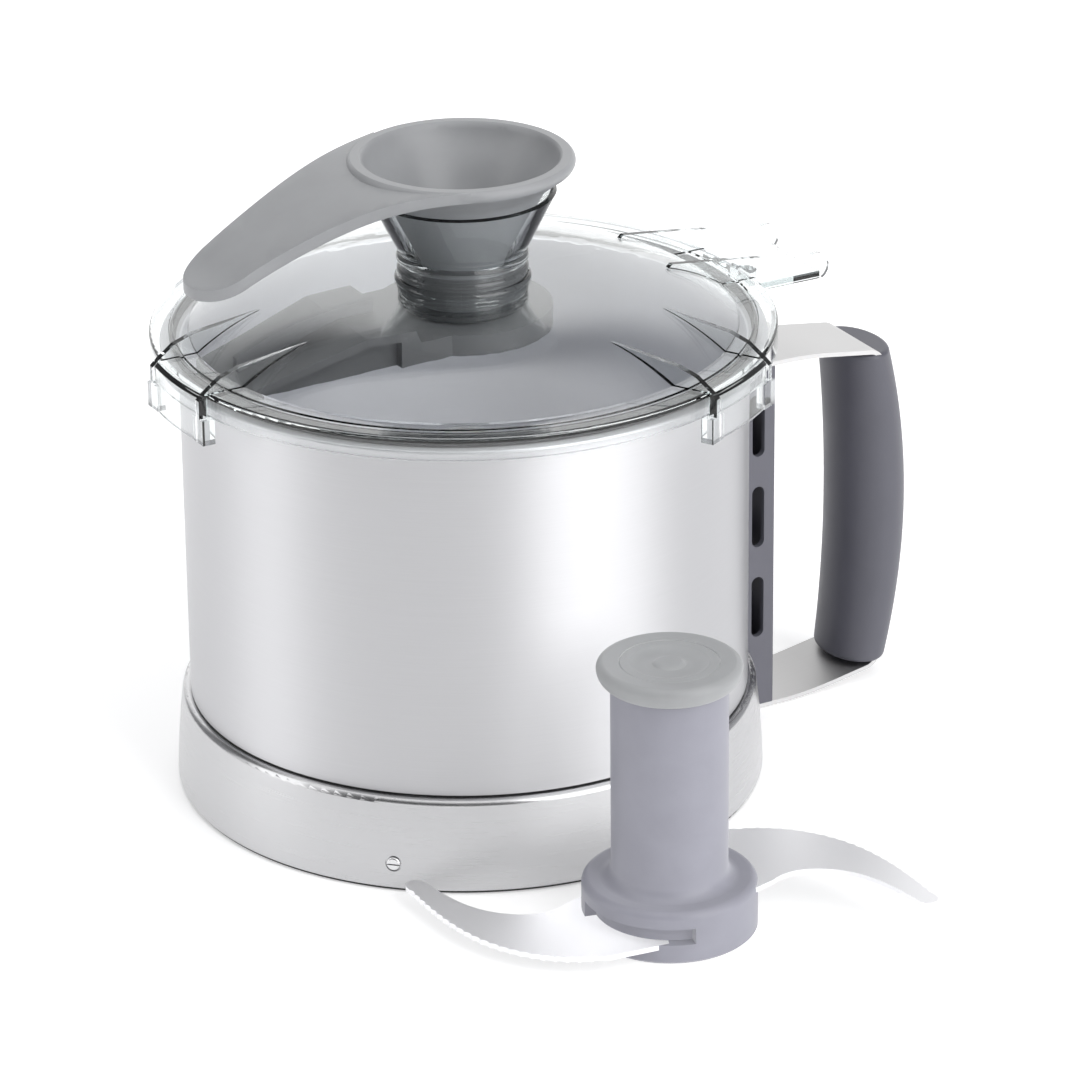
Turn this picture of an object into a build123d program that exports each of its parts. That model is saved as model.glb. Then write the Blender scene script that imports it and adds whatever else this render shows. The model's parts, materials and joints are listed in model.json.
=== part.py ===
"""Cutter bowl of a table-top food processor, with its lid, scraper and S-blade.

Millimetres, +Z up, +X towards the handle.  The origin is the centre of the bowl's
foot, on the surface it stands on.  The blade unit stands beside the bowl.
"""
from build123d import *
from math import cos, radians, sin, sqrt
import os

os.makedirs("parts", exist_ok=True)

# ---------------------------------------------------------------- driving dimensions
# bowl
bowl_r = 111.0            # outside of the steel wall
wall_t = 1.2
bowl_inner_r = bowl_r - wall_t
foot_h = 1.0              # rubber ring let into the foot of the base ring
foot_ring_r = 114.0       # its inner radius
ring_top = 38.2           # top face of the base ring
ring_foot_r = 117.2       # base ring, outside, at the foot
foot_round = 1.2          # its rounded lower edge
ring_shoulder_r = 114.5   # base ring, outside, under its rounded shoulder
ring_shoulder_z = 35.6
ring_bore_r = 112.5       # inside of the base ring, over the machine's collar
ring_bore_top = 29.0
ring_flange_z = 33.0
ring_flange_r = 92.0
wall_foot = 39.0          # lower edge of the steel wall
floor_z = 41.5            # underside of the bowl's floor
floor_top = 43.0
rim_z = 184.0             # top of the rolled rim
rim_r = 118.0

# central tube, through which the machine's shaft comes
tube_r = 14.0
tube_bore_r = 11.0
tube_top = 138.0
shaft_r = 8.0

# lid
skirt_r = 121.9
skirt_inner_r = 119.4
skirt_foot = 181.4
ledge_z = 190.5           # flat ledge round the dome
lid_t = 2.6
dome_r = 107.0
dome_h = 18.0
collar_r = 24.6           # clear neck
collar_bore_r = 20.0
collar_foot = 198.5
flare_r = 36.6            # clear cone at the top of the neck
flare_foot = 219.0
flare_top = 244.0
lug_azimuths = (60, 180, 300)
lug_half_width = 20.0
lug_half_angle = 9.6
lug_r = 125.0
lug_inner_r = 122.4
lug_foot = 171.4
fin_t = 2.7
fin_tip_t = 0.8           # at the sharp tip on the dome

# funnel lever
stem_r = 17.0
stem_bore_r = 13.0
stem_foot = 183.5
funnel_r = 44.0
funnel_top = 257.6
funnel_mouth_r = 38.2
lever_tip_x = -98.5
lever_tip_r = 18.5
lever_t = 4.2

# scraper
hub_disc_r = 34.5
hub_disc_foot = 188.0
hub_disc_top = 195.5
arm_high = 200.0          # top of the arm beside the hub disc
arm_level_x = 55.0        # from here outward the top falls
arm_end_top = 185.2
arm_end_foot = 181.8
arm_end_r = 107.2

# handle
strap_w = 36.0
strap_t = 1.8
grip_w = 39.0
grip_foot = 8.6
grip_top = 145.2

# safety rod channel
channel_x = 131.5
channel_foot = 2.2
channel_top = 150.2
rod_x = 123.8
rod_r = 2.5
button_r = 4.5
slot_l = 26.5
slot_w = 5.7
slot_zs = (46.2, 86.0, 125.6)
slot_x = 123.3

# blade unit
blade_x = -2.0
blade_y = -161.4
foot_r = 33.3
foot_top = 21.0
foot_edge_r = 3.0         # rounding of the foot's upper edge
column_r = 22.1
column_root_r = 4.5       # fillet between foot and column
column_top = 100.0
hub_bore_r = 14.6
blade_t = 2.0
lower_blade_z = 6.0
upper_blade_z = 17.0
cap_r = 27.3

gap = 0.3                 # between pieces that move past each other
running = 0.05            # radial clearance of a running fit


def dome_z(r):
    """Height of the dome's outer surface at radius r."""
    return ledge_z + dome_h * (1 - (r / dome_r) ** 4)


def arm_top(r):
    """Height of the scraper arm's top face at radius r."""
    fall = (arm_high - arm_end_top) / (arm_end_r - arm_level_x)
    return arm_high - fall * max(0, r - arm_level_x)


def radial_plane(azimuth):
    """Upright plane through the axis: local x is radial, local y is +Z."""
    a = radians(azimuth)
    return Plane(origin=(0, 0, 0), x_dir=(cos(a), sin(a), 0), z_dir=(sin(a), -cos(a), 0))


def outward_plane(azimuth, r, z):
    """Plane that faces outward at a point on a cylinder round the axis."""
    a = radians(azimuth)
    return Plane(origin=(r * cos(a), r * sin(a), z), x_dir=(-sin(a), cos(a), 0), z_dir=(cos(a), sin(a), 0))


def finish(builder, name):
    """Label a finished piece and write its STEP file."""
    builder.part.label = name
    export_step(builder.part, f"parts/{name}.step")


# ================================================================ bowl
with BuildPart() as bowl_shell:
    with BuildSketch(Plane.XZ):
        with BuildLine():
            corner_r = 6.0
            corner = (bowl_inner_r - corner_r, floor_top + corner_r)
            Polyline((tube_r, floor_top), (tube_r, floor_z), (bowl_inner_r, floor_z), (bowl_inner_r, wall_foot),
                     (bowl_r, wall_foot), (bowl_r, rim_z - 1.5), (rim_r - 0.75, rim_z - 1.5))
            ThreePointArc((rim_r - 0.75, rim_z - 1.5), (rim_r, rim_z - 0.75), (rim_r - 0.75, rim_z))
            Polyline((rim_r - 0.75, rim_z), (bowl_r + 0.5, rim_z), (bowl_inner_r, rim_z - 1.5),
                     (bowl_inner_r, corner[1]))
            ThreePointArc((bowl_inner_r, corner[1]),
                          (corner[0] + corner_r * cos(radians(-45)), corner[1] + corner_r * sin(radians(-45))),
                          (corner[0], floor_top))
            Line((corner[0], floor_top), (tube_r, floor_top))
        make_face()
    revolve(axis=Axis.Z)
finish(bowl_shell, "bowl_shell")

with BuildPart() as shaft_tube:
    with BuildSketch(Plane.XZ):
        with BuildLine():
            Polyline((tube_bore_r, 36), (tube_r, 36), (tube_r, wall_foot), (28, wall_foot), (28, floor_z),
                     (tube_r, floor_z), (tube_r, tube_top - 2), (tube_r - 1, tube_top), (tube_bore_r, tube_top),
                     (tube_bore_r, 36))
        make_face()
    revolve(axis=Axis.Z)
finish(shaft_tube, "shaft_tube")

with BuildPart() as tube_bushes:
    for bush_foot, bush_top in ((37.0, 55.0), (118.0, 137.0)):
        with BuildSketch(Plane.XY.offset(bush_foot)):
            Circle(tube_bore_r)
            Circle(shaft_r, mode=Mode.SUBTRACT)
        extrude(amount=bush_top - bush_foot)
finish(tube_bushes, "tube_bushes")

# The ring's wall leans out from its shoulder to its foot, and is a little convex.
ring_lean = (ring_foot_r - ring_shoulder_r) / (ring_shoulder_z - foot_h)
ring_belly = ((ring_foot_r + ring_shoulder_r) / 2 + 0.45, (ring_shoulder_z + foot_h) / 2)
ring_screw_z = 11.5
ring_screw_azimuths = (-133, -13, 107)
ring_screw_r = ring_foot_r - ring_lean * (ring_screw_z - foot_h) - 0.3
screw_head_r = 2.75

with BuildPart() as base_ring:
    with BuildSketch(Plane.XZ):
        with BuildLine():
            roll_r = ring_top - ring_shoulder_z
            roll = roll_r * (1 - cos(radians(45)))
            Line((ring_flange_r, ring_top), (ring_shoulder_r - roll_r, ring_top))
            ThreePointArc((ring_shoulder_r - roll_r, ring_top), (ring_shoulder_r - roll, ring_top - roll),
                          (ring_shoulder_r, ring_shoulder_z))
            ThreePointArc((ring_shoulder_r, ring_shoulder_z), ring_belly, (ring_foot_r, foot_h + foot_round))
            ThreePointArc((ring_foot_r, foot_h + foot_round),
                          (ring_foot_r - 0.3 * foot_round, foot_h + 0.3 * foot_round),
                          (ring_foot_r - foot_round, foot_h))
            Polyline((ring_foot_r - foot_round, foot_h), (foot_ring_r, foot_h),
                     (foot_ring_r, 0), (ring_bore_r, 0), (ring_bore_r, ring_bore_top),
                     (ring_bore_r - 4, ring_flange_z),
                     (ring_flange_r, ring_flange_z), (ring_flange_r, ring_top))
        make_face()
    revolve(axis=Axis.Z)
    # spot faces and holes for the retaining screws
    ring_screw_planes = [outward_plane(a, ring_screw_r, ring_screw_z) for a in ring_screw_azimuths]
    with BuildSketch(*ring_screw_planes):
        Circle(screw_head_r + 0.5)
    extrude(amount=4, mode=Mode.SUBTRACT)
    with BuildSketch(*ring_screw_planes):
        Circle(1.5)
    extrude(amount=-6, mode=Mode.SUBTRACT)
finish(base_ring, "base_ring")

with BuildPart() as ring_screws:
    with BuildSketch(*ring_screw_planes):
        Circle(screw_head_r)
    extrude(amount=1.4)
    fillet(edges().filter_by(GeomType.CIRCLE).group_by(lambda e: e.center().length)[-1], radius=0.8)
    with BuildSketch(*[p.offset(0.9) for p in ring_screw_planes]):
        Rectangle(2 * screw_head_r + 1, 0.8)
    extrude(amount=1, mode=Mode.SUBTRACT)
    with BuildSketch(*ring_screw_planes):
        Circle(1.5)
    extrude(amount=-(ring_screw_r - ring_bore_r))
finish(ring_screws, "ring_screws")

with BuildPart() as foot_ring:
    with BuildSketch(Plane.XY):
        Circle(ring_foot_r - foot_round - 0.3)
        Circle(foot_ring_r, mode=Mode.SUBTRACT)
    extrude(amount=foot_h)
finish(foot_ring, "foot_ring")

with BuildPart() as base_gasket:
    with BuildSketch(Plane.XY.offset(ring_top)):
        Circle(bowl_r - 0.7)
        Circle(bowl_r - 7, mode=Mode.SUBTRACT)
    extrude(amount=wall_foot - ring_top)
finish(base_gasket, "base_gasket")

# ================================================================ handle and safety rod channel
bush_r = 6.5
with BuildPart() as strap_screws:
    # two pan heads on top of the strap, two flush heads below it
    strap_top = channel_top + strap_t
    screw_x = 117.5
    upward = (Align.CENTER, Align.CENTER, Align.MIN)
    downward = (Align.CENTER, Align.CENTER, Align.MAX)
    for y in (-12.5, 12.5):
        with Locations((screw_x, y, strap_top)):
            Cylinder(2.9, 0.8, align=upward)
            Cylinder(1.5, 7, align=downward)
        with Locations((screw_x, y, strap_top + 0.8)):
            Cone(2.9, 2.0, 0.8, align=upward)
        with Locations((screw_x + 7, y, channel_foot - strap_t)):
            Cone(2.9, 1.5, 1.4, align=upward)
            Cylinder(1.5, 6, align=upward)
finish(strap_screws, "strap_screws")

with BuildPart() as handle_strap:
    bend_x = 181.2
    bow_x = 185.2
    top_mid = channel_top + strap_t / 2
    foot_mid = channel_foot - strap_t / 2
    with BuildSketch(Plane.XZ):
        with BuildLine() as strap_line:
            FilletPolyline((100, top_mid), (146, top_mid), (bend_x, top_mid - 5.2), (bow_x, 78),
                           (bend_x, foot_mid + 6.2), (146, foot_mid), (100, foot_mid),
                           radius=[150, 6, 400, 6, 150])
        trace(strap_line.line, line_width=strap_t)
    extrude(amount=strap_w / 2, both=True)
    # the ends follow the bowl's wall and the base ring
    with BuildSketch(Plane.XY.offset(channel_top - 5)):
        Circle(bowl_r)
    extrude(amount=20, mode=Mode.SUBTRACT)
    with BuildSketch(Plane.XY.offset(-5)):
        Circle(ring_foot_r)
    extrude(amount=20, mode=Mode.SUBTRACT)
    with Locations((rod_x, 0, top_mid)):
        Cylinder(bush_r, 6, mode=Mode.SUBTRACT)
    add(strap_screws.part, mode=Mode.SUBTRACT)
finish(handle_strap, "handle_strap")

with BuildPart() as handle_grip:
    # oval sections, fuller at mid height, on an axis that bows outward
    grip_mid = (grip_foot + grip_top) / 2
    half_h = (grip_top - grip_foot) / 2
    stations = 5
    for i in range(stations):
        t = 2 * i / (stations - 1) - 1
        bulge = 1 - t * t
        with BuildSketch(Plane(origin=(178.6 + 6.4 * bulge, 0, grip_mid + half_h * t))):
            Ellipse(12.4 + 2.8 * bulge, grip_w / 2 - 0.6 + 0.6 * bulge)
    loft()
    fillet(edges().group_by(Axis.Z)[-1] + edges().group_by(Axis.Z)[0], radius=2.0)
    add(handle_strap.part, mode=Mode.SUBTRACT)
finish(handle_grip, "handle_grip")

with BuildPart() as bowl_studs:
    stud_planes = [(y, z) for z in (62, 110) for y in (-10.5, 10.5)]
    for y, z in stud_planes:
        with BuildSketch(Plane(origin=(105, y, z), z_dir=(1, 0, 0))):
            Circle(2)
        extrude(amount=17)
    Cylinder(bowl_r, 400, mode=Mode.SUBTRACT)
finish(bowl_studs, "bowl_studs")

with BuildPart() as stud_nuts:
    for y, z in stud_planes:
        with BuildSketch(Plane(origin=(118.5, y, z), z_dir=(1, 0, 0))):
            RegularPolygon(3.5, 6, major_radius=False)
            Circle(2, mode=Mode.SUBTRACT)
        extrude(amount=2.6)
finish(stud_nuts, "stud_nuts")

web_z = 101.0
web_t = 4.0
with BuildPart() as rod_channel:
    with BuildSketch(Plane.XY.offset(channel_foot)):
        with Locations(((100 + channel_x) / 2, 0)):
            Rectangle(channel_x - 100, strap_w)
    extrude(amount=channel_top - channel_foot)
    fillet(edges().filter_by(Axis.Z).group_by(Axis.X)[-1], radius=1.6)
    # the back follows the bowl's wall and, lower down, the base ring
    with BuildSketch(Plane.XY.offset(ring_top)):
        Circle(bowl_r)
    extrude(amount=channel_top, mode=Mode.SUBTRACT)
    with BuildSketch(Plane.XY.offset(-1)):
        Circle(ring_foot_r + 0.1)
    extrude(amount=ring_top + 1, mode=Mode.SUBTRACT)
    # hollow for the rod, in two chambers either side of the guide web
    for low, high in ((channel_foot + 2.5, web_z - web_t / 2), (web_z + web_t / 2, channel_top - 2.5)):
        with Locations((rod_x, 0, (low + high) / 2)):
            Box(10.6, 31, high - low, mode=Mode.SUBTRACT)
    with Locations((rod_x, 0, web_z)):
        Cylinder(rod_r + running, web_t + 2, mode=Mode.SUBTRACT)
    with Locations((rod_x, 0, channel_top)):
        Cylinder(bush_r, 12, mode=Mode.SUBTRACT)
    # three long windows through both cheeks
    with BuildSketch(Plane.XZ):
        with Locations(*[(slot_x, z) for z in slot_zs]):
            SlotOverall(slot_l, slot_w, rotation=90)
    extrude(amount=strap_w, both=True, mode=Mode.SUBTRACT)
    add(strap_screws.part, mode=Mode.SUBTRACT)
    add(bowl_studs.part, mode=Mode.SUBTRACT)
finish(rod_channel, "rod_channel")

with BuildPart() as rod_bush:
    with BuildSketch(Plane.XZ):
        with BuildLine():
            Polyline((button_r + running, 146), (bush_r, 146), (bush_r, strap_top), (8, strap_top),
                     (8, strap_top + 1), (button_r + running, strap_top + 1), (button_r + running, 146))
        make_face()
    revolve(axis=Axis.Z)
rod_bush.part = rod_bush.part.moved(Location((rod_x, 0, 0)))
finish(rod_bush, "rod_bush")

# ---------------------------------------------------------------- safety rod
button_top = 159.4
rod_foot = 21.2
rod_top = 141.0
collar_z = 131.0
with BuildPart() as safety_rod:
    with Locations((rod_x, 0, rod_foot)):
        Cylinder(rod_r, rod_top - rod_foot, align=(Align.CENTER, Align.CENTER, Align.MIN))
finish(safety_rod, "safety_rod")

with BuildPart() as rod_button:
    with Locations((rod_x, 0, rod_top)):
        Cylinder(button_r, button_top - rod_top, align=(Align.CENTER, Align.CENTER, Align.MIN))
    fillet(edges().group_by(Axis.Z)[-1], radius=1.6)
finish(rod_button, "rod_button")

with BuildPart() as rod_collar:
    with Locations((rod_x, 0, collar_z)):
        Cylinder(4.9, 3, align=(Align.CENTER, Align.CENTER, Align.MIN))
        Cylinder(rod_r, 20, mode=Mode.SUBTRACT)
finish(rod_collar, "rod_collar")

with BuildPart() as rod_magnet:
    with Locations((rod_x, 0, rod_foot)):
        Cylinder(4.5, 10, align=(Align.CENTER, Align.CENTER, Align.MAX))
    chamfer(edges().group_by(Axis.Z)[0], length=0.6)
finish(rod_magnet, "rod_magnet")

spring_foot = web_z + web_t / 2
with BuildPart() as rod_spring:
    wire_r = 0.55
    with BuildLine():
        spring_line = Helix(pitch=3.8, height=collar_z - spring_foot - 2 * wire_r, radius=3.9,
                            center=(rod_x, 0, spring_foot + wire_r))
    with BuildSketch(Plane(origin=spring_line @ 0, z_dir=spring_line % 0)):
        Circle(wire_r)
    sweep(is_frenet=True)
finish(rod_spring, "rod_spring")

# ================================================================ lid
with BuildPart() as lug_fin:
    # one fin, from a sharp tip on the dome out over the rim and down to a hooked foot
    with BuildSketch(Plane.XZ):
        with BuildLine():
            Polyline((76, dome_z(78) - 1.2), (78, dome_z(80.5) + 0.1), (107, 198.8), (115, 196.0), (121.5, 191.2),
                     (124.4, 188.6), (124.4, lug_foot), (121.2, lug_foot), (120.9, ledge_z - 1.4),
                     (105, ledge_z - 1.4), (94, dome_z(96) - 1.4), (76, dome_z(78) - 1.2))
        make_face()
    extrude(amount=fin_t / 2, both=True)
    with BuildSketch(Plane.XY.offset(lug_foot - 1)):
        with BuildLine():
            Polyline((75, -fin_tip_t / 2), (100, -fin_t / 2), (130, -fin_t / 2), (130, fin_t / 2),
                     (100, fin_t / 2), (75, fin_tip_t / 2), (75, -fin_tip_t / 2))
        make_face()
    extrude(amount=50, mode=Mode.INTERSECT)
    with Locations((121.8, 0, (lug_foot + skirt_foot) / 2)):
        Box(5.2, 8, skirt_foot - lug_foot)

with BuildPart() as lid:
    # skirt, ledge, dome, neck and flared cone in one turned shape
    with BuildSketch(Plane.XZ):
        with BuildLine():
            dome_stations = (collar_r + 2.0, 45, 65, 80, 92, 100, dome_r)
            outer = [(r, dome_z(r)) for r in dome_stations]
            inner = [(r, dome_z(r) - lid_t) for r in dome_stations]
            Polyline(inner[0], (collar_r, inner[0][1]), (collar_r, collar_foot), (collar_bore_r, collar_foot),
                     (collar_bore_r, flare_foot - 1))
            Polyline((collar_bore_r, flare_foot - 1), (flare_r - 2.4, flare_top - 0.5), (flare_r - 1.3, flare_top),
                     (flare_r, flare_top - 0.8), (collar_r, flare_foot + 0.2))
            ThreePointArc((collar_r, flare_foot + 0.2), (collar_r + 1.2, flare_foot - 1.7),
                          (collar_r, flare_foot - 3.6))
            Line((collar_r, flare_foot - 3.6), (collar_r, flare_foot - 5.2))
            ThreePointArc((collar_r, flare_foot - 5.2), (collar_r + 1.0, flare_foot - 6.6),
                          (collar_r, flare_foot - 8.0))
            Line((collar_r, flare_foot - 8.0), (collar_r, outer[0][1] + 1.4))
            ThreePointArc((collar_r, outer[0][1] + 1.4), (collar_r + 1.5, outer[0][1] + 1.1),
                          (collar_r + 2.0, dome_z(collar_r + 2.0)))
            Spline(*outer)
            Polyline(outer[-1], (112.6, ledge_z), (112.9, ledge_z - 0.7), (114.1, ledge_z - 0.7), (114.4, ledge_z),
                     (skirt_r - 1.2, ledge_z))
            ThreePointArc((skirt_r - 1.2, ledge_z), (skirt_r - 0.35, ledge_z - 0.35), (skirt_r, ledge_z - 1.2))
            Polyline((skirt_r, ledge_z - 1.2), (skirt_r, skirt_foot), (skirt_inner_r, skirt_foot),
                     (skirt_inner_r, ledge_z - lid_t), inner[-1])
            Spline(*reversed(inner))
        make_face()
    revolve(axis=Axis.Z)
    # lug walls that hang outside the skirt
    for azimuth in lug_azimuths:
        with BuildSketch(radial_plane(azimuth - lug_half_angle)):
            with BuildLine():
                Polyline((lug_inner_r, lug_foot), (lug_r, lug_foot), (lug_r, ledge_z - 1.4),
                         (lug_r - 1.4, ledge_z), (skirt_r - 2, ledge_z), (skirt_r - 2, ledge_z - 2.4),
                         (lug_inner_r, ledge_z - 2.4), (lug_inner_r, lug_foot))
            make_face()
        revolve(axis=Axis.Z, revolution_arc=2 * lug_half_angle)
    # a pair of fins at each lug, from the dome out over the rim and down
    for azimuth in lug_azimuths:
        for side in (-1, 1):
            shift = side * lug_half_width
            beside = (shift * sin(radians(azimuth)), -shift * cos(radians(azimuth)), 0)
            add(lug_fin.part.rotate(Axis.Z, azimuth).moved(Location(beside)))
    # tab over the handle: two longer fins, a floor between them and a foot for the rod
    with BuildSketch(Plane.XZ.offset(-19), Plane.XZ.offset(19)):
        with BuildLine():
            Polyline((146, 195.0), (108, 200.4), (82, 203.4), (79, dome_z(81.5) - 1.4), (94, dome_z(96) - 1.4),
                     (105, ledge_z - 1.4), (120, ledge_z - 1.4), (126, 184.6), (151, 184.6))
            ThreePointArc((151, 184.6), (153.8, 188.5), (146, 195.0))
        make_face()
    extrude(amount=1.25, both=True)
    with Locations((135, 0, 186.0)):
        Box(31, 38, 2.4)
    with Locations((rod_x + 2.4, 0, button_top + 0.4)):
        Cylinder(5, 26, align=(Align.CENTER, Align.CENTER, Align.MIN))
finish(lid, "lid")

seal_inner_r = 111.6
seal_outer_r = 114.0
with BuildPart() as lid_seal:
    with BuildSketch(Plane.XZ):
        with BuildLine():
            seal_top = rim_z + 3.1
            Polyline((seal_inner_r, rim_z + gap), (seal_outer_r, rim_z + gap), (seal_outer_r, seal_top),
                     (seal_inner_r + 0.8, seal_top), (seal_inner_r, rim_z + gap))
        make_face()
    revolve(axis=Axis.Z)
finish(lid_seal, "lid_seal")

with BuildPart() as neck_bush:
    with BuildSketch(Plane.XY.offset(collar_foot + 1.5)):
        Circle(collar_bore_r)
        Circle(stem_r + running, mode=Mode.SUBTRACT)
    extrude(amount=flare_foot - collar_foot - 6)
finish(neck_bush, "neck_bush")

with BuildPart() as neck_seal:
    with BuildSketch(Plane.XY.offset(collar_foot - 2.2)):
        Circle(collar_r - 0.4)
        Circle(stem_r + gap, mode=Mode.SUBTRACT)
    extrude(amount=2.2)
    fillet(edges().group_by(Axis.Z)[0], radius=0.8)
finish(neck_seal, "neck_seal")

# ================================================================ funnel lever and scraper
with BuildPart() as funnel_lever:
    # lever: a plan outline cut from a plate that curves down towards its tip
    with BuildSketch(Plane.XY.offset(200)):
        with BuildLine():
            shoulder = (-17.0, sqrt((funnel_r - 0.5) ** 2 - 17.0 ** 2))
            waist = (-60.0, 26.9)
            tip_start = (lever_tip_x - 1.0, sqrt(lever_tip_r ** 2 - 1.0))
            ThreePointArc(shoulder, waist, tip_start)
            ThreePointArc(tip_start, (lever_tip_x - lever_tip_r, 0), (tip_start[0], -tip_start[1]))
            ThreePointArc((tip_start[0], -tip_start[1]), (waist[0], -waist[1]), (shoulder[0], -shoulder[1]))
            Line((shoulder[0], -shoulder[1]), shoulder)
        make_face()
    extrude(amount=80)
    with BuildSketch(Plane.XZ):
        with BuildLine():
            top_line = Spline((-12, funnel_top), (-45, 255.2), (-75, 245.8), (-100, 234.0), (-125, 225.0),
                              tangents=[(-1, 0), (-1, -0.12)])
            low_line = Spline((-12, funnel_top - lever_t), (-44, 255.2 - lever_t), (-73.4, 245.8 - lever_t),
                              (-98.3, 234.0 - lever_t), (-125, 225.0 - lever_t), tangents=[(-1, 0), (-1, -0.12)])
            Line(top_line @ 0, low_line @ 0)
            Line(top_line @ 1, low_line @ 1)
        make_face()
    extrude(amount=60, both=True, mode=Mode.INTERSECT)
    # funnel and hollow stem
    with BuildSketch(Plane.XZ):
        with BuildLine():
            mouth = Spline((funnel_mouth_r, funnel_top - 0.6), (30.5, 245.5), (19.5, 229.0), (stem_bore_r, 212.0),
                           tangents=[(-0.35, -1), (0, -1)])
            Polyline(mouth @ 1, (stem_bore_r, stem_foot), (stem_r, stem_foot), (stem_r, 216), (32.2, 243.6),
                     (34.0, 246.2), (42.2, 252.6))
            ThreePointArc((42.2, 252.6), (funnel_r, 255.4), (42.6, funnel_top))
            Line((42.6, funnel_top), (funnel_mouth_r + 0.9, funnel_top))
            Line((funnel_mouth_r + 0.9, funnel_top), mouth @ 0)
        make_face()
    revolve(axis=Axis.Z)
    # clear the mouth where the lever's plate crosses it
    with BuildSketch(Plane.XZ):
        with BuildLine():
            Polyline(mouth @ 0, (funnel_mouth_r + 0.9, funnel_top), (funnel_mouth_r + 0.9, funnel_top + 5),
                     (0, funnel_top + 5), (0, 212), mouth @ 1)
            Spline((stem_bore_r, 212.0), (19.5, 229.0), (30.5, 245.5), (funnel_mouth_r, funnel_top - 0.6),
                   tangents=[(0, 1), (0.35, 1)])
        make_face()
    revolve(axis=Axis.Z, mode=Mode.SUBTRACT)
finish(funnel_lever, "funnel_lever")

with BuildPart() as arm_pockets:
    # hollows in both flanks of the arm, open below
    with BuildSketch(Plane.XY.offset(arm_end_foot - 2)):
        for side in (-1, 1):
            with BuildLine():
                Polyline((-41, side * 40), (-41, side * 23), (-97, side * 16), (-97, side * 40), (-41, side * 40))
            make_face()
    extrude(amount=30)
    with BuildSketch(Plane.XZ):
        with BuildLine():
            Polyline((-41, 170), (-41, arm_high - 3.2), (-arm_level_x, arm_high - 3.2), (-97, arm_top(97) - 2.6),
                     (-97, 170), (-41, 170))
        make_face()
    extrude(amount=60, both=True, mode=Mode.INTERSECT)

with BuildPart() as scraper_arm:
    # plan of the arm along -X, then its side outline
    with BuildSketch(Plane.XY.offset(hub_disc_foot - 20)):
        with BuildLine():
            Polyline((0, 29), (-45, 27), (-108, 20), (-108, -20), (-45, -27), (0, -29), (0, 29))
        make_face()
        Circle(arm_end_r, mode=Mode.INTERSECT)
    extrude(amount=50)
    with BuildSketch(Plane.XZ):
        with BuildLine():
            Polyline((0, hub_disc_foot), (0, hub_disc_top), (-33, hub_disc_top), (-35, arm_high),
                     (-arm_level_x, arm_high), (-arm_end_r, arm_end_top), (-arm_end_r, arm_end_foot),
                     (-100, arm_end_foot), (-30, hub_disc_foot), (0, hub_disc_foot))
        make_face()
    extrude(amount=60, both=True, mode=Mode.INTERSECT)
    add(arm_pockets.part, mode=Mode.SUBTRACT)
    # hub disc
    with BuildSketch(Plane.XY.offset(hub_disc_foot)):
        Circle(hub_disc_r)
    extrude(amount=hub_disc_top - hub_disc_foot)
    # leg down the wall
    with BuildSketch(Plane.XY.offset(60)):
        Circle(arm_end_r)
        Circle(arm_end_r - 4, mode=Mode.SUBTRACT)
        with Locations((-arm_end_r, 0)):
            Rectangle(30, 39, mode=Mode.INTERSECT)
    extrude(amount=arm_end_foot + 2 - 60)
    # bore for the stem
    Cylinder(stem_r, 1000, mode=Mode.SUBTRACT)
finish(scraper_arm, "scraper_arm")

nut_r = 20.0
nut_t = 4.0
with BuildPart() as scraper_nut:
    with BuildSketch(Plane.XY.offset(hub_disc_foot)):
        Circle(nut_r)
        Circle(stem_r, mode=Mode.SUBTRACT)
        with PolarLocations(nut_r + 0.4, 12):
            Circle(1.2, mode=Mode.SUBTRACT)
    extrude(amount=-nut_t)
finish(scraper_nut, "scraper_nut")

with BuildPart() as lid_wiper:
    # a thin lip that stands on the arm and follows the inside of the dome
    wiper_gap = 0.5
    with BuildSketch(Plane.XZ):
        with BuildLine():
            stations = (40, 62, 82, 98)
            Spline(*[(-r, dome_z(r) - lid_t - wiper_gap) for r in stations])
            Polyline((-98, dome_z(98) - lid_t - wiper_gap), (-98, arm_top(98)), (-arm_level_x, arm_high),
                     (-40, arm_high), (-40, dome_z(40) - lid_t - wiper_gap))
        make_face()
    extrude(amount=1.5, both=True)
finish(lid_wiper, "lid_wiper")

with BuildPart() as wall_wiper:
    # a lip on the leg that follows the inside of the wall
    with BuildSketch(Plane.XY.offset(62)):
        Circle(bowl_inner_r - 0.5)
        Circle(arm_end_r, mode=Mode.SUBTRACT)
        with Locations((-arm_end_r, 0)):
            Rectangle(30, 3, mode=Mode.INTERSECT)
    extrude(amount=178 - 62)
finish(wall_wiper, "wall_wiper")

# ================================================================ blade unit
blade_axis = Axis((blade_x, blade_y, 0), (0, 0, 1))
blade_place = Location((blade_x, blade_y, 0))


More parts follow.
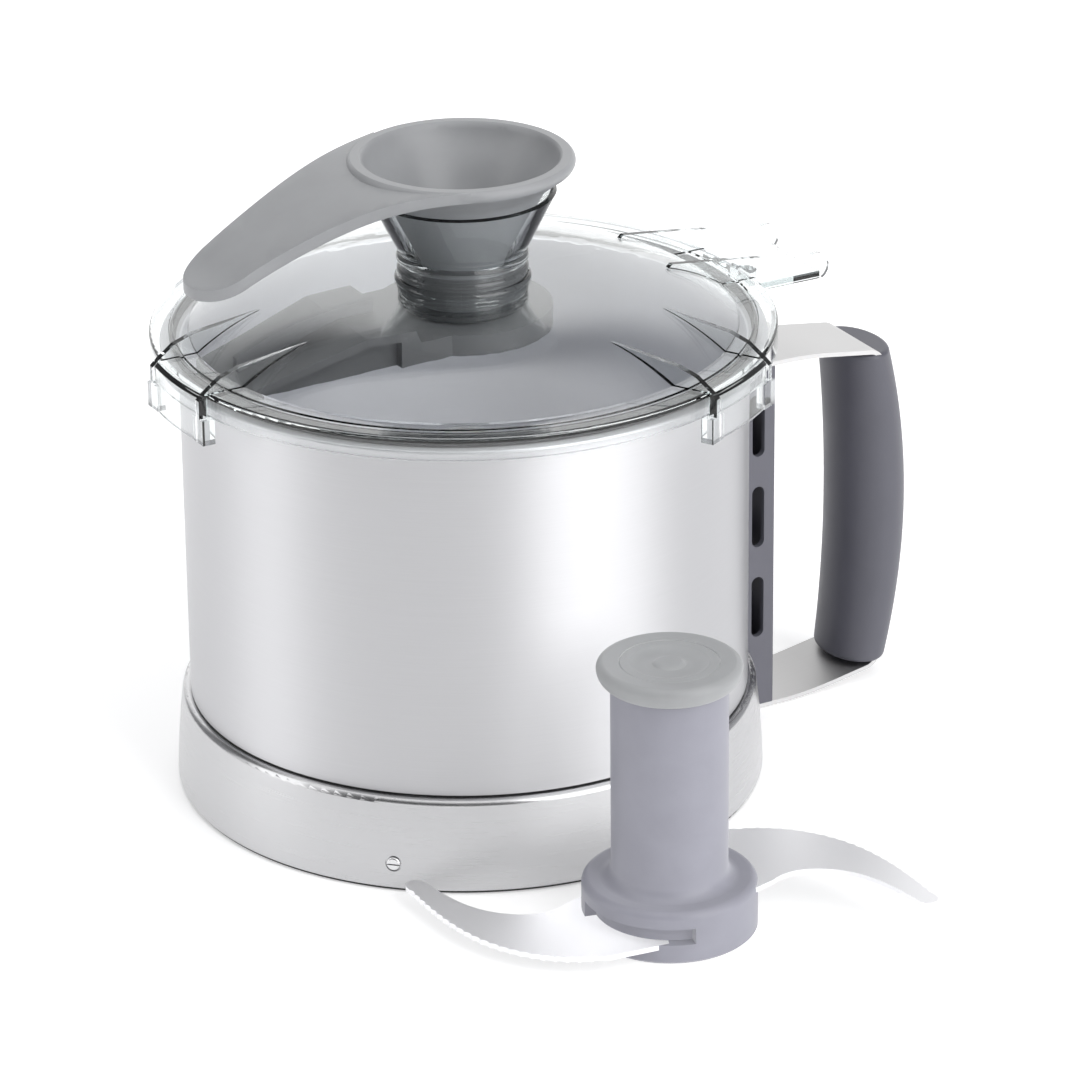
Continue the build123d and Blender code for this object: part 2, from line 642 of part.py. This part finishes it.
def sickle(turn, z):
    """One blade: a ring round the hub's bore and a backswept arm with a scalloped outer edge."""
    with BuildPart() as blade:
        with BuildSketch(Plane.XY.offset(z)):
            with BuildLine():
                edge = Spline((-38, -24.5), (-60, -13.2), (-74, 7.5), (-79.4, 34), (-79.2, 62))
                back = Spline((-71.5, 63.5), (-69.6, 50), (-61.5, 29.2), (-48, 19.2), (-33, 20.6))
                ThreePointArc(edge @ 1, (-75.6, 66.2), back @ 0)
                Polyline(back @ 1, (-16, 25), (-4, 0), (-16, -27), edge @ 0)
            make_face()
            Circle(25)
            Circle(hub_bore_r + 2.4, mode=Mode.SUBTRACT)
            # scallops, bitten from outside the edge at an even pitch
            teeth = 22
            scallop_r = 3.4
            for i in range(teeth):
                u = (i + 1.5) / (teeth + 1.5)
                outward = (edge % u).rotate(Axis.Z, 90)
                spot = (edge @ u) + outward * (scallop_r - 0.8)
                with Locations((spot.X, spot.Y)):
                    Circle(scallop_r, mode=Mode.SUBTRACT)
        extrude(amount=blade_t)
    blade.part = blade.part.rotate(Axis.Z, turn).moved(blade_place)
    return blade


lower_blade = sickle(0, lower_blade_z)
finish(lower_blade, "lower_blade")
upper_blade = sickle(180, upper_blade_z)
finish(upper_blade, "upper_blade")

bush_foot_r = 17.0
bush_top = 8.0
with BuildPart() as blade_bush:
    with Locations((blade_x, blade_y, 0)):
        Cylinder(bush_foot_r, bush_top, align=(Align.CENTER, Align.CENTER, Align.MIN))
        Cylinder(hub_bore_r, 40, mode=Mode.SUBTRACT)
finish(blade_bush, "blade_bush")

insert_foot = 78.0
insert_top = 90.0
insert_r = 15.5
spigot_r = 15.4
with BuildPart() as drive_insert:
    with BuildSketch(Plane(origin=(blade_x, blade_y, insert_foot))):
        Circle(insert_r)
        RegularPolygon(8.0, 6, major_radius=False, mode=Mode.SUBTRACT)
    extrude(amount=insert_top - insert_foot)
finish(drive_insert, "drive_insert")

with BuildPart() as blade_hub:
    with BuildSketch(Plane(origin=(blade_x, blade_y, 0), x_dir=(1, 0, 0), z_dir=(0, -1, 0))):
        with BuildLine():
            edge = foot_edge_r * (1 - cos(radians(45)))
            root = column_root_r * (1 - cos(radians(45)))
            Polyline((bush_foot_r + running, 0), (foot_r - 1.2, 0), (foot_r, 1.2), (foot_r, foot_top - foot_edge_r))
            ThreePointArc((foot_r, foot_top - foot_edge_r), (foot_r - edge, foot_top - edge),
                          (foot_r - foot_edge_r, foot_top))
            Line((foot_r - foot_edge_r, foot_top), (column_r + column_root_r, foot_top))
            ThreePointArc((column_r + column_root_r, foot_top), (column_r + root, foot_top + root),
                          (column_r, foot_top + column_root_r))
            Polyline((column_r, foot_top + column_root_r),
                     (column_r, column_top), (spigot_r + running, column_top), (spigot_r + running, insert_top),
                     (insert_r, insert_top), (insert_r, insert_foot), (hub_bore_r, insert_foot),
                     (hub_bore_r, bush_top + 0.4), (bush_foot_r + running, bush_top + 0.4),
                     (bush_foot_r + running, 0))
        make_face()
    revolve(axis=blade_axis)
    add(lower_blade.part, mode=Mode.SUBTRACT)
    add(upper_blade.part, mode=Mode.SUBTRACT)
    # slanting relief in the foot above the lower blade
    with BuildSketch(Plane(origin=(blade_x, blade_y, lower_blade_z + blade_t))):
        Circle(foot_r + 5)
        Circle(foot_r - 4.5, mode=Mode.SUBTRACT)
        with BuildLine():
            Polyline((0, 0), (-60, 14), (-60, -70), (-14, -60), (0, 0))
        make_face(mode=Mode.INTERSECT)
    extrude(amount=6.5, mode=Mode.SUBTRACT)
finish(blade_hub, "blade_hub")

# ---------------------------------------------------------------- cap of the blade unit
cap_foot = column_top + gap
cap_top = 109.5
plug_r = 18.9
plug_foot = 105.0
with BuildPart() as hub_cap:
    with BuildSketch(Plane(origin=(blade_x, blade_y, 0), x_dir=(1, 0, 0), z_dir=(0, -1, 0))):
        with BuildLine():
            Polyline((0, 92), (spigot_r - 1, 92), (spigot_r, 93), (spigot_r, 94.6), (spigot_r - 1.4, 94.6),
                     (spigot_r - 1.4, 97.0), (spigot_r, 97.0), (spigot_r, cap_foot), (column_r, cap_foot))
            ThreePointArc((column_r, cap_foot), (25.6, 102.3), (cap_r, 106))
            ThreePointArc((cap_r, 106), (26.7, 108.5), (24.6, cap_top))
            Polyline((24.6, cap_top), (plug_r, cap_top - 0.3), (plug_r, plug_foot), (0, plug_foot), (0, 92))
        make_face()
    revolve(axis=blade_axis)
finish(hub_cap, "hub_cap")

with BuildPart() as cap_plug:
    with BuildSketch(Plane(origin=(blade_x, blade_y, 0), x_dir=(1, 0, 0), z_dir=(0, -1, 0))):
        with BuildLine():
            Polyline((0, plug_foot), (plug_r, plug_foot), (plug_r, cap_top - 1.0), (plug_r - 0.5, cap_top - 0.4),
                     (14.8, cap_top - 0.4))
            ThreePointArc((14.8, cap_top - 0.4), (11.0, cap_top - 1.5), (6.4, cap_top - 1.2))
            ThreePointArc((6.4, cap_top - 1.2), (5.2, cap_top - 0.5), (4.2, cap_top - 0.3))
            Line((4.2, cap_top - 0.3), (0, cap_top - 0.1))
            Line((0, cap_top - 0.1), (0, plug_foot))
        make_face()
    revolve(axis=blade_axis)
finish(cap_plug, "cap_plug")

with BuildPart() as cap_ring:
    with BuildSketch(Plane(origin=(blade_x, blade_y, 94.6))):
        Circle(spigot_r - 0.05)
        Circle(spigot_r - 1.4, mode=Mode.SUBTRACT)
    extrude(amount=2.4)
finish(cap_ring, "cap_ring")
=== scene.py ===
"""Looks of the cutter bowl: materials, rounded lever edges, pale floor, soft studio light and camera.

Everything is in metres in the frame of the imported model.
"""
import json
import math

import bpy
from mathutils import Matrix, Vector

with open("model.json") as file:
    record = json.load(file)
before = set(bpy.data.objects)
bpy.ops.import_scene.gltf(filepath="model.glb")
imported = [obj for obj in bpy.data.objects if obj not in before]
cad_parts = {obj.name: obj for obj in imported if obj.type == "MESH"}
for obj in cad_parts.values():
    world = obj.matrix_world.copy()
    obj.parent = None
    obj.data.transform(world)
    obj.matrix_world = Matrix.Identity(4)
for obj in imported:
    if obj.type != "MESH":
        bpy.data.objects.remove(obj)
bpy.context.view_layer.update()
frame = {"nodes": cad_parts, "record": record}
MM = 0.001

STEEL_GLOSS_SPREAD = 0.05              # how far a steel's roughness goes either side of its value
STEEL_BUMP = 0.4 * MM
MOULDED_GLOSS_SPREAD = 0.04
MOULDED_VARIATION = 0.04               # share by which a moulding's colour goes either side
MOULDED_GRAIN_SCALE = 1400.0
MOULDED_BUMP = 0.2 * MM
SUBSURFACE_SCALE = 2 * MM
CLEAR_BUMP = 0.4 * MM
ALONG_GRAIN = 3.0                      # turned steel: streak scale round the axis
ACROSS_GRAIN = 2600.0                  # and across the streaks


# ================================================================ node helpers
def new_material(name):
    """An empty node material: returns the material, its tree and its output node."""
    material = bpy.data.materials.new(name)
    material.use_nodes = True
    tree = material.node_tree
    tree.nodes.clear()
    output = tree.nodes.new("ShaderNodeOutputMaterial")
    return material, tree, output


def math_node(tree, operation, a, b=None):
    """A maths node on two sockets or numbers."""
    node = tree.nodes.new("ShaderNodeMath")
    node.operation = operation
    for socket, value in zip(node.inputs, (a, b)):
        if value is None:
            continue
        if isinstance(value, (int, float)):
            socket.default_value = value
        else:
            tree.links.new(value, socket)
    return node.outputs[0]


def square_sum(tree, a, b):
    return math_node(tree, "ADD", math_node(tree, "MULTIPLY", a, a), math_node(tree, "MULTIPLY", b, b))


def ramp(tree, factor, stops):
    """A colour ramp with (position, grey or colour) stops."""
    node = tree.nodes.new("ShaderNodeValToRGB")
    elements = node.color_ramp.elements
    while len(elements) < len(stops):
        elements.new(0.5)
    for element, (position, colour) in zip(elements, stops):
        element.position = position
        grey = isinstance(colour, (int, float))
        element.color = (colour, colour, colour, 1) if grey else (*colour, 1)
    tree.links.new(factor, node.inputs[0])
    return node.outputs[0]


def object_point(tree):
    """Object coordinates, which are the frame's own metres on every piece."""
    return tree.nodes.new("ShaderNodeTexCoord").outputs["Object"]


def separate(tree, vector):
    node = tree.nodes.new("ShaderNodeSeparateXYZ")
    tree.links.new(vector, node.inputs[0])
    return node.outputs


def combine(tree, x, y, z):
    node = tree.nodes.new("ShaderNodeCombineXYZ")
    for socket, value in zip(node.inputs, (x, y, z)):
        if isinstance(value, (int, float)):
            socket.default_value = value
        else:
            tree.links.new(value, socket)
    return node.outputs[0]


def noise(tree, vector, scale, detail=3.0, rough=0.55):
    node = tree.nodes.new("ShaderNodeTexNoise")
    node.inputs["Scale"].default_value = scale
    node.inputs["Detail"].default_value = detail
    node.inputs["Roughness"].default_value = rough
    tree.links.new(vector, node.inputs["Vector"])
    return node.outputs["Fac"]


def bump(tree, height, strength, distance):
    node = tree.nodes.new("ShaderNodeBump")
    node.inputs["Strength"].default_value = strength
    node.inputs["Distance"].default_value = distance
    tree.links.new(height, node.inputs["Height"])
    return node.outputs["Normal"]


def shades(colour, contrast):
    """The colour made darker and lighter by the same share."""
    dark = tuple(c * (1 - contrast) for c in colour)
    light = tuple(min(1.0, c * (1 + contrast)) for c in colour)
    return dark, light


def turned_grain(tree, centre):
    """Streaks that run round an upright axis: slow round it, quick up and outward."""
    x, y, z = separate(tree, object_point(tree))
    dx = math_node(tree, "SUBTRACT", x, centre[0])
    dy = math_node(tree, "SUBTRACT", y, centre[1])
    angle = math_node(tree, "ARCTAN2", dy, dx)
    # the angle's cosine and sine join up where the angle wraps
    round_x = math_node(tree, "MULTIPLY", math_node(tree, "COSINE", angle), ALONG_GRAIN)
    round_y = math_node(tree, "MULTIPLY", math_node(tree, "SINE", angle), ALONG_GRAIN)
    radius = math_node(tree, "SQRT", square_sum(tree, dx, dy))
    height = math_node(tree, "MULTIPLY", math_node(tree, "ADD", z, radius), ACROSS_GRAIN)
    return combine(tree, round_x, round_y, height)


def straight_grain(tree, stretch):
    """Streaks along one axis of the frame: stretch gives the scale along each axis."""
    mapping = tree.nodes.new("ShaderNodeMapping")
    mapping.inputs["Scale"].default_value = stretch
    tree.links.new(object_point(tree), mapping.inputs["Vector"])
    return mapping.outputs[0]


def steel(name, colour, roughness, grain, contrast=0.06, depth=0.03, anisotropy=0.0, metallic=1.0,
          inside_r=None, inside_painted_light_colour=None, inside_roughness=None):
    """Brushed steel: grain gives the streak coordinates, which move colour, roughness and bump.

    Within the radius inside_r of the upright axis it has a second roughness and a second colour,
    which is painted light, a lighter copy of the steel that brightens the inside; there its highlights
    don't spread across the brushing."""
    material, tree, output = new_material(name)
    vector = grain(tree)
    fine = noise(tree, vector, 1.0, detail=4.0, rough=0.7)
    broad = noise(tree, object_point(tree), 14.0, detail=2.0)
    both = math_node(tree, "ADD", math_node(tree, "MULTIPLY", fine, 0.8),
                     math_node(tree, "MULTIPLY", broad, 0.2))
    dark, light = shades(colour, contrast)
    spread = STEEL_GLOSS_SPREAD
    shader = tree.nodes.new("ShaderNodeBsdfPrincipled")
    shader.inputs["Metallic"].default_value = metallic
    colour_stops = [(0.25, dark), (0.75, light)]
    roughness_stops = [(0.2, roughness - spread), (0.8, roughness + spread)]
    shader.inputs["Anisotropic"].default_value = anisotropy
    if inside_r is not None:
        # outside, the grain fills the lower half of both ramps; inside, the upper half
        x, y = separate(tree, object_point(tree))[:2]
        inside = math_node(tree, "LESS_THAN", square_sum(tree, x, y), inside_r * inside_r)
        both = math_node(tree, "MULTIPLY", math_node(tree, "ADD", both, inside), 0.5)
        # inside, the second colour is painted light: a lighter copy of the steel that brightens the
        # inside faces
        painted_inner_dark, painted_inner_light = shades(inside_painted_light_colour, contrast)
        colour_stops = [(0.125, dark), (0.375, light), (0.625, painted_inner_dark), (0.875, painted_inner_light)]
        roughness_stops = [(0.1, roughness - spread), (0.4, roughness + spread),
                           (0.6, inside_roughness - spread), (0.9, inside_roughness + spread)]
        outside = math_node(tree, "SUBTRACT", 1.0, inside)
        tree.links.new(math_node(tree, "MULTIPLY", outside, anisotropy), shader.inputs["Anisotropic"])
    tree.links.new(ramp(tree, both, colour_stops), shader.inputs["Base Color"])
    tree.links.new(ramp(tree, both, roughness_stops), shader.inputs["Roughness"])
    if anisotropy:
        # turned all round the upright axis, so highlights spread across the brushing
        tangent = tree.nodes.new("ShaderNodeTangent")
        tangent.direction_type = "RADIAL"
        tangent.axis = "Z"
        tree.links.new(tangent.outputs[0], shader.inputs["Tangent"])
        shader.inputs["Anisotropic Rotation"].default_value = 0.25
    tree.links.new(bump(tree, fine, depth, STEEL_BUMP), shader.inputs["Normal"])
    tree.links.new(shader.outputs[0], output.inputs[0])
    return material


def moulded(name, colour, roughness, depth=0.05, subsurface=0.0):
    """Moulded plastic: faint mottling, fine spark-eroded texture and a little uneven gloss."""
    material, tree, output = new_material(name)
    point = object_point(tree)
    mottle = noise(tree, point, 60.0, detail=3.0)
    fine = noise(tree, point, MOULDED_GRAIN_SCALE, detail=2.0)
    dark, light = shades(colour, MOULDED_VARIATION)
    spread = MOULDED_GLOSS_SPREAD
    shader = tree.nodes.new("ShaderNodeBsdfPrincipled")
    tree.links.new(ramp(tree, mottle, [(0.3, dark), (0.7, light)]), shader.inputs["Base Color"])
    tree.links.new(ramp(tree, mottle, [(0.3, roughness - spread), (0.7, roughness + spread)]),
                   shader.inputs["Roughness"])
    shader.inputs["Subsurface Weight"].default_value = subsurface
    shader.inputs["Subsurface Scale"].default_value = SUBSURFACE_SCALE
    tree.links.new(bump(tree, fine, depth, MOULDED_BUMP), shader.inputs["Normal"])
    tree.links.new(shader.outputs[0], output.inputs[0])
    return material


def clear(name, colour, roughness, ior, density, tint):
    """Clear moulding: a smooth refracting surface with a faint flow pattern, tinted in its thickness.

    Shadow rays and diffuse rays pass straight through its surface, so what is inside stays lit."""
    material, tree, output = new_material(name)
    flow = noise(tree, object_point(tree), 45.0, detail=1.0)
    shader = tree.nodes.new("ShaderNodeBsdfPrincipled")
    shader.inputs["Base Color"].default_value = (*colour, 1)
    shader.inputs["Roughness"].default_value = roughness
    shader.inputs["IOR"].default_value = ior
    shader.inputs["Transmission Weight"].default_value = 1.0
    tree.links.new(bump(tree, flow, 0.02, CLEAR_BUMP), shader.inputs["Normal"])
    straight = tree.nodes.new("ShaderNodeBsdfTransparent")
    straight.inputs["Color"].default_value = (*colour, 1)
    path = tree.nodes.new("ShaderNodeLightPath")
    lighting = math_node(tree, "MAXIMUM", path.outputs["Is Shadow Ray"], path.outputs["Is Diffuse Ray"])
    mixed = tree.nodes.new("ShaderNodeMixShader")
    tree.links.new(lighting, mixed.inputs[0])
    tree.links.new(shader.outputs[0], mixed.inputs[1])
    tree.links.new(straight.outputs[0], mixed.inputs[2])
    absorb = tree.nodes.new("ShaderNodeVolumeAbsorption")
    absorb.inputs["Color"].default_value = (*tint, 1)
    absorb.inputs["Density"].default_value = density
    tree.links.new(mixed.outputs[0], output.inputs["Surface"])
    tree.links.new(absorb.outputs[0], output.inputs["Volume"])
    return material


# ================================================================ materials
BOWL_AXIS = (0.0, 0.0)
BOWL_INSIDE_R = 110.4 * MM             # between the wall's inner and outer faces


def round_bowl(tree):
    return turned_grain(tree, BOWL_AXIS)


def along_strap(tree):
    return straight_grain(tree, (60.0, 2600.0, 60.0))


def ground_blade(tree):
    return straight_grain(tree, (2200.0, 160.0, 160.0))


looks = {
    # the bowl's inside is painted lighter than its outside, 0.88 against 0.64: painted light on the same
    # steel
    "bowl_steel": steel("bowl_steel", (0.64, 0.64, 0.655), 0.46, round_bowl, contrast=0.035, depth=0.05,
                        anisotropy=0.75, inside_r=BOWL_INSIDE_R, inside_painted_light_colour=(0.88, 0.88, 0.91),
                        inside_roughness=0.5),
    "base_steel": steel("base_steel", (0.56, 0.56, 0.57), 0.26, round_bowl, contrast=0.04, depth=0.05,
                        anisotropy=0.65),
    "strap_steel": steel("strap_steel", (0.66, 0.655, 0.655), 0.42, along_strap, contrast=0.04),
    "tube_steel": steel("tube_steel", (0.74, 0.74, 0.75), 0.25, round_bowl),
    "blade_steel": steel("blade_steel", (0.96, 0.96, 0.98), 0.33, ground_blade, contrast=0.008,
                         depth=0.003, metallic=0.6),
    "fastener_steel": steel("fastener_steel", (0.72, 0.72, 0.73), 0.22, round_bowl),
    "spring_steel": steel("spring_steel", (0.55, 0.55, 0.57), 0.28, round_bowl),
    "clear_plastic": clear("clear_plastic", (0.972, 0.98, 0.982), 0.015, ior=1.56, density=26.0,
                           tint=(0.53, 0.62, 0.62)),
    "funnel_grey": moulded("funnel_grey", (0.31, 0.316, 0.328), 0.38),
    "scraper_grey": moulded("scraper_grey", (0.135, 0.135, 0.14), 0.42),
    "hub_grey": moulded("hub_grey", (0.305, 0.305, 0.355), 0.40),
    "cap_grey": moulded("cap_grey", (0.345, 0.352, 0.36), 0.42),
    "grip_slate": moulded("grip_slate", (0.10, 0.10, 0.122), 0.45, depth=0.12),
    "channel_slate": moulded("channel_slate", (0.118, 0.118, 0.142), 0.48, depth=0.12),
    "seal_black": moulded("seal_black", (0.02, 0.02, 0.021), 0.55),
    "bush_white": moulded("bush_white", (0.70, 0.70, 0.68), 0.45, subsurface=0.2),
    "wiper_grey": moulded("wiper_grey", (0.12, 0.12, 0.13), 0.50),
}
for part in frame["record"]["subparts"]:
    node = frame["nodes"][part["node"]]
    node.data.materials.clear()
    node.data.materials.append(looks[part["material_slot"]])

# the funnel lever's edges are rounded, as a moulding's are; the weld first joins its faces' corners
WELD_REACH = 0.02 * MM
LEVER_ROUNDING = 1.1 * MM
SHARP_ANGLE = math.radians(38)
lever = frame["nodes"]["funnel_lever"]
weld = lever.modifiers.new("weld", "WELD")
weld.merge_threshold = WELD_REACH
rounding = lever.modifiers.new("rounded_edges", "BEVEL")
rounding.width = LEVER_ROUNDING
rounding.segments = 3
rounding.limit_method = "ANGLE"
rounding.angle_limit = SHARP_ANGLE
rounding.harden_normals = True

# The blade unit is hidden from glossy and diffuse rays, so it neither cuts the soft bands of light
# in the bowl's steel nor dims it. This serves the picture and isn't physical.
for body in ("blade", "blade_bush", "cap"):
    for name in frame["record"]["behaviour"]["bodies"][body]:
        frame["nodes"][name].visible_glossy = False
        frame["nodes"][name].visible_diffuse = False

# ================================================================ stage
FLOOR_SIZE = 8.0
FLOOR_Z = -0.2 * MM                    # just under what stands on it
FLOOR_GLOW = 0.32
floor_material, floor_tree, floor_output = new_material("pale_floor")
floor_shader = floor_tree.nodes.new("ShaderNodeBsdfPrincipled")
floor_shader.inputs["Base Color"].default_value = (0.93, 0.93, 0.935, 1)
floor_shader.inputs["Roughness"].default_value = 0.6
floor_shader.inputs["Emission Color"].default_value = (1, 1, 1, 1)
floor_shader.inputs["Emission Strength"].default_value = FLOOR_GLOW
floor_tree.links.new(floor_shader.outputs[0], floor_output.inputs[0])
floor_mesh = bpy.data.meshes.new("floor")
half = FLOOR_SIZE / 2
floor_corners = [(x, y, FLOOR_Z) for x, y in ((-half, -half), (half, -half), (half, half), (-half, half))]
floor_mesh.from_pydata(floor_corners, [], [(0, 1, 2, 3)])
floor_mesh.materials.append(floor_material)
floor = bpy.data.objects.new("floor", floor_mesh)
bpy.context.collection.objects.link(floor)

# ---------------------------------------------------------------- camera directions
VIEW_AZIMUTH = math.radians(-28.0)     # the handle lies to the right and away
right = Vector((math.cos(VIEW_AZIMUTH), math.sin(VIEW_AZIMUTH), 0))
toward_camera = Vector((math.sin(VIEW_AZIMUTH), -math.cos(VIEW_AZIMUTH), 0))
up = Vector((0, 0, 1))

# ---------------------------------------------------------------- studio world
# A bright ceiling over dark walls, with upright soft panels of light in the walls.
world = bpy.data.worlds.new("studio")
bpy.context.scene.world = world
world.use_nodes = True
bpy.context.scene.view_settings.view_transform = "Standard"
sky = world.node_tree
sky.nodes.clear()
sky_output = sky.nodes.new("ShaderNodeOutputWorld")
sky_direction = sky.nodes.new("ShaderNodeTexCoord").outputs["Generated"]


def dot(tree, vector, fixed):
    node = tree.nodes.new("ShaderNodeVectorMath")
    node.operation = "DOT_PRODUCT"
    tree.links.new(vector, node.inputs[0])
    node.inputs[1].default_value = fixed
    return node.outputs["Value"]


def smooth_step(tree, value, start, end):
    """0 at start, 1 at end, smooth between."""
    node = tree.nodes.new("ShaderNodeMapRange")
    node.interpolation_type = "SMOOTHSTEP"
    tree.links.new(value, node.inputs["Value"])
    node.inputs["From Min"].default_value = start
    node.inputs["From Max"].default_value = end
    return node.outputs["Result"]


def glow(tree, mask, colour, strength):
    """A background shader of one colour, as strong as mask times strength."""
    node = tree.nodes.new("ShaderNodeBackground")
    node.inputs["Color"].default_value = (*colour, 1)
    tree.links.new(math_node(tree, "MULTIPLY", mask, strength), node.inputs["Strength"])
    return node.outputs[0]


def join_light(tree, first, second):
    node = tree.nodes.new("ShaderNodeAddShader")
    tree.links.new(first, node.inputs[0])
    tree.links.new(second, node.inputs[1])
    return node.outputs[0]


sky_azimuth = math_node(sky, "ARCTAN2", dot(sky, sky_direction, right),
                        dot(sky, sky_direction, toward_camera))
sky_height = math_node(sky, "ARCSINE", separate(sky, sky_direction)[2])

WHITE = (1, 1, 1)
COOL = (0.95, 0.96, 1.0)
WALL_TINT = (0.97, 0.98, 1)
CEILING_STRENGTH = 1.25
WALL_STRENGTH = 0.09
FOOT_FADE = 4                          # degrees, as every angle of the panels is
TOP_FADE = 8
PANELS = (                             # azimuth, half width, soft, low, high, strength, colour
    (180, 32, 14, -5, 34, 1.2, WHITE),       # behind the bowl, in two halves: the azimuth ends here
    (-180, 32, 14, -5, 34, 1.2, WHITE),
    (-122, 24, 12, -5, 34, 0.18, COOL),      # back left, faint
    (120, 22, 12, -5, 34, 0.45, COOL),       # back right
    (-84, 14, 10, -5, 50, 1.9, WHITE),       # left
    (52, 24, 10, -5, 55, 3.0, WHITE),        # front right, the main light
    (30, 3, 2, 25, 62, 4.0, WHITE),          # a narrow strip, high at the front right
)


def panel(azimuth, half_width, soft, low, high, strength, colour):
    """An upright panel of light: angles in degrees, azimuth 0 behind the camera and 90 to its right.

    Its sides fade over soft either way, its foot over FOOT_FADE and its top over TOP_FADE."""
    off = math_node(sky, "ABSOLUTE", math_node(sky, "SUBTRACT", sky_azimuth, math.radians(azimuth)))
    across = smooth_step(sky, off, math.radians(half_width + soft), math.radians(half_width - soft))
    above = smooth_step(sky, sky_height, math.radians(low - FOOT_FADE), math.radians(low + FOOT_FADE))
    below = smooth_step(sky, sky_height, math.radians(high + TOP_FADE), math.radians(high - TOP_FADE))
    mask = math_node(sky, "MULTIPLY", across, math_node(sky, "MULTIPLY", above, below))
    return glow(sky, mask, colour, strength)


def everywhere_above(low, high):
    """A mask of the sky from one height, in degrees, up to where it is full."""
    return smooth_step(sky, sky_height, math.radians(low), math.radians(high))


light = join_light(sky, glow(sky, everywhere_above(42, 62), WHITE, CEILING_STRENGTH),
                   glow(sky, everywhere_above(-90, -89), WALL_TINT, WALL_STRENGTH))
for values in PANELS:
    light = join_light(sky, light, panel(*values))
sky.links.new(light, sky_output.inputs[0])


# ---------------------------------------------------------------- camera
CAMERA_DISTANCE = 1.94075              # level distance from the bowl's axis
CAMERA_HEIGHT = 0.9484
SENSOR = 36.0
LENS = 178.96
PITCH = math.radians(23.7115)          # down
YAW = math.radians(-0.8476)
ROLL = math.radians(-0.6070)

turn = Matrix.Rotation(YAW, 3, "Z")
look = turn @ (-toward_camera * math.cos(PITCH) - up * math.sin(PITCH))
level = turn @ right
camera_right = level * math.cos(ROLL) + level.cross(look) * math.sin(ROLL)
camera_up = camera_right.cross(look)
camera_data = bpy.data.cameras.new("camera")
camera_data.lens = LENS
camera_data.sensor_width = SENSOR
camera_data.clip_end = 50.0
camera = bpy.data.objects.new("camera", camera_data)
place = toward_camera * CAMERA_DISTANCE + up * CAMERA_HEIGHT
facing = Matrix((camera_right, camera_up, -look)).transposed().to_4x4()
camera.matrix_world = Matrix.Translation(place) @ facing
bpy.context.collection.objects.link(camera)
bpy.context.scene.camera = camera
